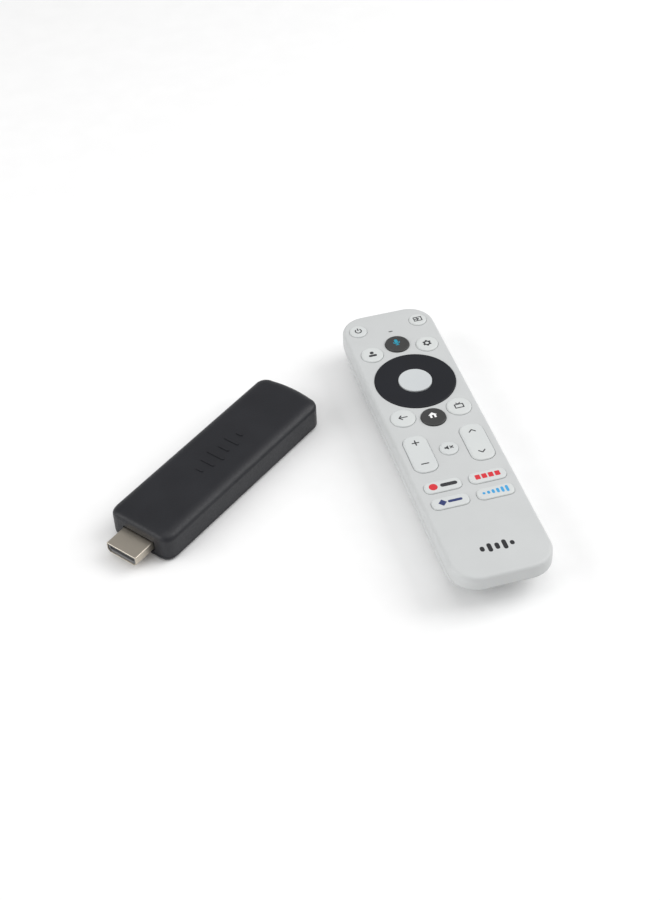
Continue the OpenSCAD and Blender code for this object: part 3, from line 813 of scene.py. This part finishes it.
@dataclass
class RemoteCase:
    """The remote's case: a flat face with eased edges over a boat-shaped underside."""

    width: float = 37.5
    length: float = 148.0
    height: float = 17.0
    corner_r: float = 10.0
    wall: float = 1.3
    seam_z: float = 11.2
    side_curve: float = 7.0
    end_slope: float = 12.0
    end_curve: float = 5.0
    edge: Step = (1.6, 1.5)
    key_gap: float = 0.08
    rocker_gap: float = 0.12
    door_w: float = 24.0
    door_top: float = 2.9
    door_gap: float = 0.15
    grip_in: float = 12.0
    keys: list[KeyCap] = field(default_factory=list)

    def __post_init__(self) -> None:
        """Finds the case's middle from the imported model."""
        low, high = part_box("remote_top_case")
        self.middle = Vector(((low.x + high.x) / 2 / MM, (low.y + high.y) / 2 / MM, 0))
        self.home = Matrix.Translation(self.middle)
        self.door_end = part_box("battery_door")[1].y / MM - self.middle.y

    def skin(self, name: str, shrink: float = 0.0) -> Bench:
        """Models the whole outer surface as one closed skin.

        Args:
            name: the piece's name.
            shrink: how much smaller the surface is, all round.

        Returns:
            The bench, in edit mode.
        """
        width, length = self.width - 2 * shrink, self.length - 2 * shrink
        bench = Bench(name).sheet(width, length, self.corner_r - shrink, self.seam_z, 16)
        bench.rise(self.height - self.edge[1] - self.seam_z)
        bench.outward().pick_level(self.height - self.edge[1])
        bench.steps(rounded_edge(self.edge[0], self.edge[1], 7, 2.3))
        bench.pick_level(self.seam_z, up=False)
        z, sides, ends = self.seam_z, width, length
        for i in range(1, 15):
            angle = math.pi / 2 * i / 14
            depth, arc = math.sin(angle), 1 - math.cos(angle)
            new_z = self.seam_z - (self.seam_z - shrink) * depth
            new_sides = width - 2 * self.side_curve * arc
            new_ends = length - 2 * (self.end_slope * depth + self.end_curve * arc)
            bench.rise(new_z - z)
            bpy.ops.transform.resize(value=(new_sides / sides, new_ends / ends, 1),
                                     center_override=(0, 0, 0))
            z, sides, ends = new_z, new_sides, new_ends
        return bench.outward()

    def local(self, node: str) -> Point:
        """Gives a CAD node's middle about the case's own middle."""
        at = centre_mm(node) - self.middle
        return (at.x, at.y)

    def key_cutters(self) -> list[Bench]:
        """Makes one straight cutter for each key's hole, the microphone's slot and the window."""
        low, tall = self.height - 3 * self.wall, 8.0
        cutters = []
        for key in self.keys:
            gap = self.rocker_gap if "rocker" in key.node else self.key_gap
            r = key.radius + gap
            if key.size:
                size = (key.size[0] + 2 * gap, key.size[1] + 2 * gap, tall)
                cutter = straight_block("hole", size, low, r, 10)
            elif key.node == "ok_button":
                cutter = straight_rod("hole", RING_R + self.key_gap, tall, low, 128)
            else:
                cutter = straight_rod("hole", r, tall, low, 64)
            cutters.append(cutter.shift(shift_by(*self.local(key.node))))
        slot = straight_block("hole", (1.8, 0.7, tall), low, 0.34, 6)
        cutters.append(slot.shift(shift_by(*self.local("microphone"))))
        window = straight_block("hole", (9.1, 2.9, 6.0), -3, 0.85, 6)
        window.shift(shift_by(0, self.length / 2, centre_mm("infrared_window").z) @ TURN_X)
        cutters.append(window)
        return cutters

    def door_block(self, gap: float) -> Bench:
        """Makes the block of space that the battery door fills, grown by a gap."""
        run = self.length / 2 + 5 + self.door_end
        size = (self.door_w + 2 * gap, run + gap, self.door_top + gap + 1)
        block = straight_block("door_space", size, -1)
        return block.shift(shift_by(0, self.door_end + gap - (run + gap) / 2))

    def build(self) -> None:
        """Builds the two halves of the case, the door and the small pieces on them."""
        for name, node, above in (("top_case", "remote_top_case", True),
                                  ("bottom_case", "remote_bottom_case", False)):
            half = self.skin(name)
            half.slice(self.seam_z + (0.06 if above else -0.06), above).lift_off()
            holes = self.key_cutters() if above else [self.door_block(self.door_gap)]
            half.thicken(self.wall).cut(*holes).ease(0.14)
            half.place(self.home, Finishes.PALE_ABS, node, smooth_deg=28)
        self.build_tray()
        self.build_door()
        self.build_window()
        for key in self.keys:
            key.build()

    def build_tray(self) -> None:
        """Builds the battery tray that stands inside the bottom case."""
        wall, length, low, high = 1.1, 54.0, 1.0, 12.1
        outer = straight_block("battery_tray", (self.door_w + 0.3 + 2 * wall, length + 2 * wall,
                                                high - low), low, 0.6)
        inner = straight_block("bay", (self.door_w + 0.3, length, high), low - 1, 0.4)
        middle = centre_mm("battery_plates").y - self.middle.y
        outer.cut(inner).shift(shift_by(0, middle))
        hull = self.skin("hull", self.wall / 2).lift_off()
        outer.overlap(hull).cut(self.door_block(self.door_gap))
        outer.ease(0.12).place(self.home, Finishes.PALE_ABS, "remote_bottom_case", False)

    def build_door(self) -> None:
        """Builds the battery door, with a ribbed thumb grip near its upper end."""
        door = self.skin("battery_cover")
        door.slice(self.seam_z, keep_above=False).lift_off()
        door.thicken(self.wall).overlap(self.door_block(0.0))
        grip = Bench("grip").disc(7.0, -1.0, 64)
        grip.rise(1.05).steps(rounded_edge(6.0, 0.4, 6, 1.6)).lift_off()
        grip.shift(shift_by(0, self.door_end - self.grip_in))
        door.cut(grip).ease(0.1)
        door.place(self.home, Finishes.PALE_ABS, "battery_door", smooth_deg=28)
        ribs = Ink("door_ribs", 0.35)
        for i in range(5):
            half = 4.2 - 0.35 * abs(i - 2)
            ribs.bar((-half, (i - 2) * 1.5), (half, (i - 2) * 1.5), 0.5)
        ribs.print_on(self.home @ shift_by(0, self.door_end - self.grip_in, 0.22),
                      Finishes.PALE_ABS, "battery_door")

    def build_window(self) -> None:
        """Builds the infrared window, slightly crowned, in the far end."""
        pane = crowned(Bench("infrared_pane").sheet(8.95, 2.75, 0.8, 0.0, 6), 1.3, (0.5, 0.2))
        where = self.home @ shift_by(0, self.length / 2 - 1.45, centre_mm("infrared_window").z)
        pane.place(where @ TURN_X.inverted(), Finishes.DARK_ACRYLIC, "infrared_window")

    def print_mark(self) -> None:
        """Prints a plain row of sound bars low on the face."""
        mark = Ink("face_mark").draw(level_bars((2.3, 4.0, 3.0, 4.4, 2.0), 2.75, 1.6))
        where = self.home @ shift_by(0, -61.2, self.height - INK_SINK)
        mark.print_on(where, Finishes.BLACK_INK, "remote_top_case")


@dataclass
class Cells:
    """The two dry cells in the tray and the springs that press on them."""

    radius: float = 5.25
    length: float = 44.5
    tip: float = 0.8
    wire_r: float = 0.3
    coil_r: float = 3.7
    coil_tip_r: float = 2.2
    pitch: float = 0.85
    turns: int = 3

    def build(self) -> None:
        """Builds both cells, each turned the other way round, and their springs."""
        for node, up in (("battery_left", True), ("battery_right", False)):
            self.build_cell(node, up)
        low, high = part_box("battery_springs")
        near = self.coil("coil_near", centre_mm("battery_left").x, low.y / MM, -1)
        far = self.coil("coil_far", centre_mm("battery_right").x, high.y / MM, 1)
        near.fuse(far).place(Matrix.Identity(4), Finishes.TINNED_STEEL, "battery_springs")

    def coil(self, name: str, x: float, y: float, side: int) -> Bench:
        """Winds one tapered spring from round wire, standing on its end of the tray.

        Args:
            name: its name.
            x: its axis.
            y: where its wide end stands.
            side: one at the far end, minus one at the near end.

        Returns:
            The bench that holds it, at its place.
        """
        bench = Bench(name).disc(self.wire_r, 0.0, 10).lift_off()
        bench.shift(shift_by(self.coil_r, 0, self.wire_r) @ TURN_X)
        apply_modifier(bench.obj, "SCREW", axis="Z", angle=math.tau, steps=28,
                       screw_offset=self.pitch, iterations=self.turns, use_normal_calculate=True)
        take_up(bench.obj)
        bpy.ops.object.mode_set(mode="EDIT")
        rise = self.pitch * self.turns
        taper = (self.coil_r - self.coil_tip_r) / rise
        bench.bend_points(lambda p: Vector((p.x * (1 - taper * p.z / self.coil_r),
                                            p.y * (1 - taper * p.z / self.coil_r), p.z)))
        bench.lift_off()
        turn = Matrix.Rotation(math.pi / 2 * side, 4, "X")
        return bench.shift(shift_by(x, y, centre_mm("battery_springs").z) @ turn)

    def build_cell(self, node: str, up: bool) -> None:
        """Builds one cell.

        Args:
            node: the CAD node that it stands for.
            up: whether its tip is at the remote's far end.
        """
        low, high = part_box(node)
        # Printed shrink sleeve of an alkaline cell: glossy dark grey with a copper-coloured band
        wrap = BandedWrap("wrap_" + node, "#3D4247", "#3D4247", 0.3, 0.6, 0.003, ior=1.5,
                          band="#B5763B", low_m=low.y if up else high.y,
                          high_m=high.y if up else low.y)
        tube = self.length - self.tip
        cell = straight_rod("cell_" + node, self.radius - 0.9, 0.25)
        can = Bench("can").disc(self.radius - 0.35, 0.15, 64)
        can.rise(tube - 0.3).outward().pick_level(tube - 0.15)
        can.steps([(1.2, -0.1), (0.9, 0.0)]).rise(0.2 + self.tip - 0.25)
        can.steps(rounded_edge(0.5, 0.15, 4)).lift_off()
        cell.fuse(can)
        sleeve = straight_rod("sleeve_" + node, self.radius, tube)
        sleeve.cut(straight_rod("inside", self.radius - 1.3, tube + 2, -1.0)).ease(0.3, 3)
        middle = centre_mm(node)
        turn = Matrix.Rotation(-math.pi / 2 if up else math.pi / 2, 4, "X")
        where = shift_by(middle.x, (low.y if up else high.y) / MM, middle.z) @ turn
        cell.place(where, Finishes.TINNED_STEEL, "battery_plates", False)
        sleeve.place(where, wrap, node)


# ---- Stick ----


@dataclass
class MediaStick:
    """The stick: a soft-edged slab of charcoal plastic with a video plug at its near end.

    Its own frame has +X towards the far end and +Z up, about the middle of its underside.
    """

    length: float = 92.0
    width: float = 28.5
    height: float = 12.0
    corner_r: float = 5.0
    top_edge: Step = (4.7, 2.8)
    low_edge: float = 1.5
    bow: float = 0.9
    wall: float = 1.1
    seam_z: float = 1.8
    near_squeeze: float = 0.45
    plug_w: float = 13.9
    plug_h: float = 4.45
    plug_metal: float = 0.35

    def __post_init__(self) -> None:
        """Finds the stick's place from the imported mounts."""
        mounts = {m["name"]: m for m in frame["record"]["mounts"]}
        run = -Vector(mounts["video_plug"]["axis"])
        self.turn = math.atan2(run.y, run.x)
        middle = Vector(mounts["stick_underside"]["pos_m"]) / MM
        self.home = Matrix.Translation(middle) @ Matrix.Rotation(self.turn, 4, "Z")
        plug = Vector(mounts["video_plug"]["pos_m"]) / MM
        self.plug_z = plug.z
        self.plug_x = -(plug.xy - middle.xy).length
        self.near_x = -self.length / 2
        self.inlet_z = Vector(mounts["power_inlet"]["pos_m"]).z / MM

    def skin(self, name: str) -> Bench:
        """Models the whole outer surface as one closed skin, its far end slightly bowed.

        Args:
            name: the piece's name.

        Returns:
            The bench, in edit mode.
        """
        bench = Bench(name).sheet(self.length, self.width, self.corner_r, self.low_edge, 10)
        bpy.ops.mesh.select_mode(type="EDGE")
        mesh = bmesh.from_edit_mesh(bench.obj.data)
        for edge in mesh.edges:
            edge.select_set(all(v.co.x > self.length / 2 - 1e-3 for v in edge.verts))
        bmesh.update_edit_mesh(bench.obj.data)
        bpy.ops.mesh.subdivide(number_cuts=11)
        flat = self.width / 2 - self.corner_r
        bench.bend_points(lambda p: Vector((p.x - self.bow * min(abs(p.y) / flat, 1.0) ** 2
                                            if p.x > 0 else p.x, p.y, p.z)))
        bpy.ops.mesh.select_mode(type="FACE")
        bpy.ops.mesh.select_all(action="SELECT")
        bench.rise(self.height - self.top_edge[1] - self.low_edge)
        bench.outward().pick_level(self.height - self.top_edge[1])
        bench.steps(rounded_edge(self.top_edge[0], self.top_edge[1], 12, 2.1))
        bench.pick_level(self.low_edge, up=False)
        bench.steps(rounded_edge(self.low_edge, self.low_edge, 5))
        bench.bend_points(self.crisper_near_end)
        return bench.outward()

    def crisper_near_end(self, point: Vector) -> Vector:
        """Pulls the near end's edges outwards, so that they are tighter than the sides'."""
        ring = self.length / 2 + point.x
        over = self.top_edge[0]
        if ring >= over or ring <= 0:
            return point
        return Vector((-self.length / 2 + ring * (self.near_squeeze
                                                  + (1 - self.near_squeeze) * ring / over),
                       point.y, point.z))

    def plug_prism(self, name: str, margin: float, start: float, end: float,
                   ease: float = 0.35) -> Bench:
        """Makes a closed bar with the plug's section, along the stick's own X.

        Args:
            name: its name.
            margin: how much smaller it is than the plug's outside, all round.
            start: where it starts along the stick.
            end: where it ends.
            ease: the rounding of its long edges.

        Returns:
            The bench that holds it.
        """
        w, h, c = self.plug_w / 2 - margin, self.plug_h / 2 - margin, 1.1
        points = [(-w, h), (-w, c - h), (c - w, -h), (w - c, -h), (w, c - h), (w, h)]
        bench = Bench(name).outline(points)
        bpy.ops.mesh.select_all(action="SELECT")
        bpy.ops.mesh.bevel(offset=ease, segments=4, affect="VERTICES")
        bpy.ops.mesh.select_all(action="SELECT")
        bench.rise(end - start).lift_off()
        turn = Matrix(((0, 0, 1, 0), (1, 0, 0, 0), (0, 1, 0, 0), (0, 0, 0, 1)))
        return bench.shift(shift_by(start, 0, self.plug_z) @ turn)

    def openings(self) -> list[Bench]:
        """Makes the cutters for the plug's pocket, the power inlet, the button and the light."""
        pocket = self.plug_prism("hole", -0.4, self.near_x - 1, self.near_x + 0.7, 0.5)
        passage = self.plug_prism("hole", -0.12, self.near_x - 1, self.near_x + 7)
        mouth = straight_block("hole", (8.5, 3.6, 6.0), -3.0, 1.0)
        mouth.shift(shift_by(self.length / 2, 0, self.inlet_z)
                    @ Matrix.Rotation(math.pi / 2, 4, "Z") @ TURN_X)
        cutters = [pocket, passage, mouth]
        for node, radius in (("reset_button", 1.5), ("light_pipe", 0.66)):
            at = self.home.inverted() @ centre_mm(node)
            hole = straight_rod("hole", radius, 8.0, -4.0, 32)
            cutters.append(hole.shift(shift_by(at.x, self.width / 2, at.z) @ TURN_X))
        return cutters

    def build(self) -> None:
        """Builds the two shells, the plug and the small pieces on them."""
        for name, node, above in (("upper_shell", "stick_top_shell", True),
                                  ("lower_shell", "stick_bottom_shell", False)):
            shell = self.skin(name)
            shell.slice(self.seam_z + (0.03 if above else -0.03), above).lift_off()
            shell.thicken(self.wall).cut(*(self.openings() if above else [])).ease(0.12)
            shell.place(self.home, Finishes.CHARCOAL_ABS, node, smooth_deg=28)
        self.build_plug()
        self.build_button()
        self.emboss_mark()

    def build_plug(self) -> None:
        """Builds the plug's metal shell, with its folded seam, and the liner inside it."""
        shell = self.plug_prism("plug_shell", 0.0, self.plug_x, self.near_x + 6)
        shell.ease(0.22, 3, 60)
        shell.cut(self.plug_prism("bore", self.plug_metal, self.plug_x - 1, self.near_x + 7, 0.2))
        shell.ease(0.1, 3, 60)
        nickel = replace(Finishes.NICKEL, turn_deg=math.degrees(self.turn))
        shell.place(self.home, nickel, "video_plug_shell", smooth_deg=40)
        liner = self.plug_prism("plug_liner", self.plug_metal + 0.04, self.plug_x + 0.4,
                                self.near_x + 6, 0.15)
        slot = straight_block("slot", (17.0, 11.4, 1.4), self.plug_z - 0.6, 0.3)
        liner.cut(slot.shift(shift_by(self.plug_x + 0.5, 0))).ease(0.08)
        liner.place(self.home, Finishes.GREY_LINER, "plug_insulator", smooth_deg=40)

    def build_button(self) -> None:
        """Builds the reset button, slightly dished, and the light pipe's lens."""
        button = crowned(Bench("reset_cap").disc(1.4, 0.0, 40), 1.7, (0.25, 0.2),
                         [(0.2, 0), (0.6, -0.15)])
        lens = crowned(Bench("light_lens").disc(0.6, 0.0, 32), 2.5, (0.4, 0.12))
        for piece, node, depth, finish in (
                (button, "reset_button", 1.8, Finishes.BLACK_NYLON),
                (lens, "light_pipe", 2.6, Finishes.LIGHT_PIPE)):
            at = self.home.inverted() @ centre_mm(node)
            where = self.home @ shift_by(at.x, self.width / 2 - depth, at.z)
            piece.place(where @ TURN_X.inverted(), finish, node)

    def emboss_mark(self) -> None:
        """Raises a plain row of sound bars on the top, across the stick's length."""
        bars = level_bars((3.4, 6.4, 8.0, 5.0, 7.0, 3.0), 4.7, 1.0)
        mark = Ink("raised_mark", 0.3).draw(bars)
        mark.print_on(self.home @ shift_by(0.3, -0.3, self.height - 0.04), Finishes.CHARCOAL_ABS,
                      "stick_top_shell")


# ---- CAD pieces that keep their shape ----

KEPT_NODES: dict[Finish, str] = {
    Finishes.GOLD: "plug_contacts key_contacts",
    Finishes.SOLDER_MASK: "stick_board remote_board",
    Finishes.CHIP_RESIN: "processor memory_chips controller_chip",
    Finishes.TINNED_STEEL: "shield_can power_socket_shell reset_switch microphone battery_springs"
                           " battery_plates",
    Finishes.GAP_PAD: "thermal_pad",
    Finishes.SPREADER: "heat_spreader",
    Finishes.BLACK_NYLON: "power_socket_tongue",
    Finishes.LIGHT_PIPE: "stick_light",
    Finishes.COPPER: "antenna",
    Finishes.SILICONE: "keypad_mat dpad_support",
    Finishes.DARK_ACRYLIC: "infrared_lamp",
    Finishes.ZINC: "board_screws",
}


def dress_kept_nodes() -> None:
    """Gives each CAD node that keeps its shape the finish of its real material."""
    for finish, nodes in KEPT_NODES.items():
        for node in nodes.split():
            mesh = frame["nodes"][node].data
            mesh.materials.clear()
            mesh.materials.append(finish.material())
            log.info("%s: dressed in %s", node, finish.name)


# ---- Keys of the remote ----


def dark_key(node: str, sign: Sign, ink: Finish) -> KeyCap:
    """Describes a dark key with a thin rim round a shallow dish."""
    return KeyCap(node, 4.8, ((sign, ink, (0, 0.9)),), None, (0.3, 0.3),
                  Finishes.DARK_KEY_PLASTIC, 0.2)


def rocker_key(node: str, far: Sign, near: Sign) -> KeyCap:
    """Describes a long key that rocks, with a sign near each end."""
    grey = Finishes.GREY_INK
    return KeyCap(node, 3.8, ((far, grey, (0, 5.7)), (near, grey, (0, -5.7))), (9.2, 19.8))


def remote_keys() -> list[KeyCap]:
    """Lists every key of the remote with its size and signs."""
    grey, red, navy, middle = Finishes.GREY_INK, Finishes.RED_INK, Finishes.NAVY_INK, (0, 0)
    keys = [
        KeyCap("power_button", 3.5, ((Sign.POWER, grey, middle),)),
        KeyCap("input_button", 3.5, ((Sign.INPUT, grey, middle),)),
        KeyCap("profile_button", 4.4, ((Sign.PERSON, grey, middle),)),
        dark_key("voice_button", Sign.VOICE, Finishes.TEAL_INK),
        KeyCap("settings_button", 4.4, ((Sign.GEAR, grey, middle),)),
        KeyCap("ok_button", 6.5, edge=(0.35, 0.3), finish=Finishes.SELECT_PLASTIC),
        KeyCap("back_button", 4.8, ((Sign.BACK, grey, middle),)),
        dark_key("home_button", Sign.HOME, Finishes.WHITE_INK),
        KeyCap("guide_button", 4.8, ((Sign.GUIDE, grey, middle),)),
        rocker_key("volume_rocker", Sign.PLUS, Sign.MINUS),
        KeyCap("mute_button", 3.5, ((Sign.MUTE, grey, middle),)),
        rocker_key("channel_rocker", Sign.UP, Sign.DOWN),
    ]
    apps = (((Sign.SPOT, red, (-3.6, 0)), (Sign.LABEL, grey, (2.1, 0))),
            ((Sign.SQUARES, red, middle),),
            ((Sign.DIAMOND, navy, (-2.9, 0)), (Sign.DASH, navy, (1.7, 0))),
            ((Sign.RISING, Finishes.SKY_INK, middle),))
    for i, signs in enumerate(apps):
        keys.append(KeyCap(f"app_button_{i + 1}", 2.4, signs, (14.0, 5.6), (0.9, 0.5)))
    return keys


# ---- Studio ----


@dataclass
class Studio:
    """A plain pale floor, soft lights and the camera."""

    azimuth_deg: float = -14.16
    elevation_deg: float = 43.53
    distance: float = 0.6015
    lens: float = 62.58
    roll_deg: float = -2.46
    target: tuple[float, float] = (0.0175, 0.0198)

    def camera(self) -> None:
        """Sets up the camera that looks down on the pair from the front left."""
        a, e, r = (math.radians(v) for v in (self.azimuth_deg, self.elevation_deg, self.roll_deg))
        back = Vector((math.sin(a) * math.cos(e), -math.cos(a) * math.cos(e), math.sin(e)))
        level = Vector((math.cos(a), math.sin(a), 0))
        over = back.cross(level)
        right = level * math.cos(r) + over * math.sin(r)
        up = back.cross(right)
        data = bpy.data.cameras.new("camera")
        data.lens = self.lens
        data.sensor_width = 36.0
        data.clip_start = 0.01
        camera = bpy.data.objects.new("camera", data)
        spot = Vector((self.target[0], self.target[1], 0)) + back * self.distance
        turn = Matrix((right, up, back)).transposed().to_4x4()
        camera.matrix_world = Matrix.Translation(spot) @ turn
        bpy.context.scene.collection.objects.link(camera)
        bpy.context.scene.camera = camera

    def light(self, name: str, spot: tuple[float, float, float], size: float, watts: float) -> None:
        """Adds a square soft light that looks at the middle of the pair.

        Args:
            name: its name.
            spot: its place in metres.
            size: its side in metres.
            watts: its power.
        """
        data = bpy.data.lights.new(name, "AREA")
        data.size = size
        data.energy = watts
        lamp = bpy.data.objects.new(name, data)
        lamp.location = spot
        lamp.rotation_euler = Vector(spot).to_track_quat("Z", "Y").to_euler()
        bpy.context.scene.collection.objects.link(lamp)

    def floor(self) -> None:
        """Adds the floor, just under the pair."""
        clear_selection()
        bpy.ops.mesh.primitive_plane_add(size=6, location=(0, 0, -0.0002))
        plane = bpy.context.object
        plane.name = "studio_floor"
        # Matte white seamless background paper
        paper = Finish("studio_paper", "#FDFDFD", "#FFFFFF", 0.9, 2.0, 0.0, ior=1.45)
        plane.data.materials.append(paper.material())

    def build(self) -> None:
        """Sets up the whole studio."""
        self.camera()
        self.floor()
        self.light("right_softbox", (0.85, 0.0, 0.7), 0.8, 6.2)
        self.light("left_softbox", (-0.95, -0.05, 0.5), 0.9, 5.5)
        self.light("top_softbox", (0.1, 0.0, 1.2), 1.0, 3.3)
        world = bpy.data.worlds.new("studio_sky")
        bpy.context.scene.world = world
        world.use_nodes = True
        sky = world.node_tree.nodes["Background"]
        sky.inputs["Color"].default_value = (1.0, 1.0, 1.0, 1.0)
        sky.inputs["Strength"].default_value = 0.42
        bpy.context.scene.view_settings.view_transform = "Standard"


def main() -> None:
    """Builds the studio, then each sub-assembly in order."""
    logging.basicConfig(level=logging.INFO, format="%(message)s")
    Studio().build()
    MediaStick().build()
    case = RemoteCase(keys=remote_keys())
    case.build()
    case.print_mark()
    DirectionPad().build()
    Cells().build()
    dress_kept_nodes()
    clear_selection()


if __name__ == "__main__":
    main()
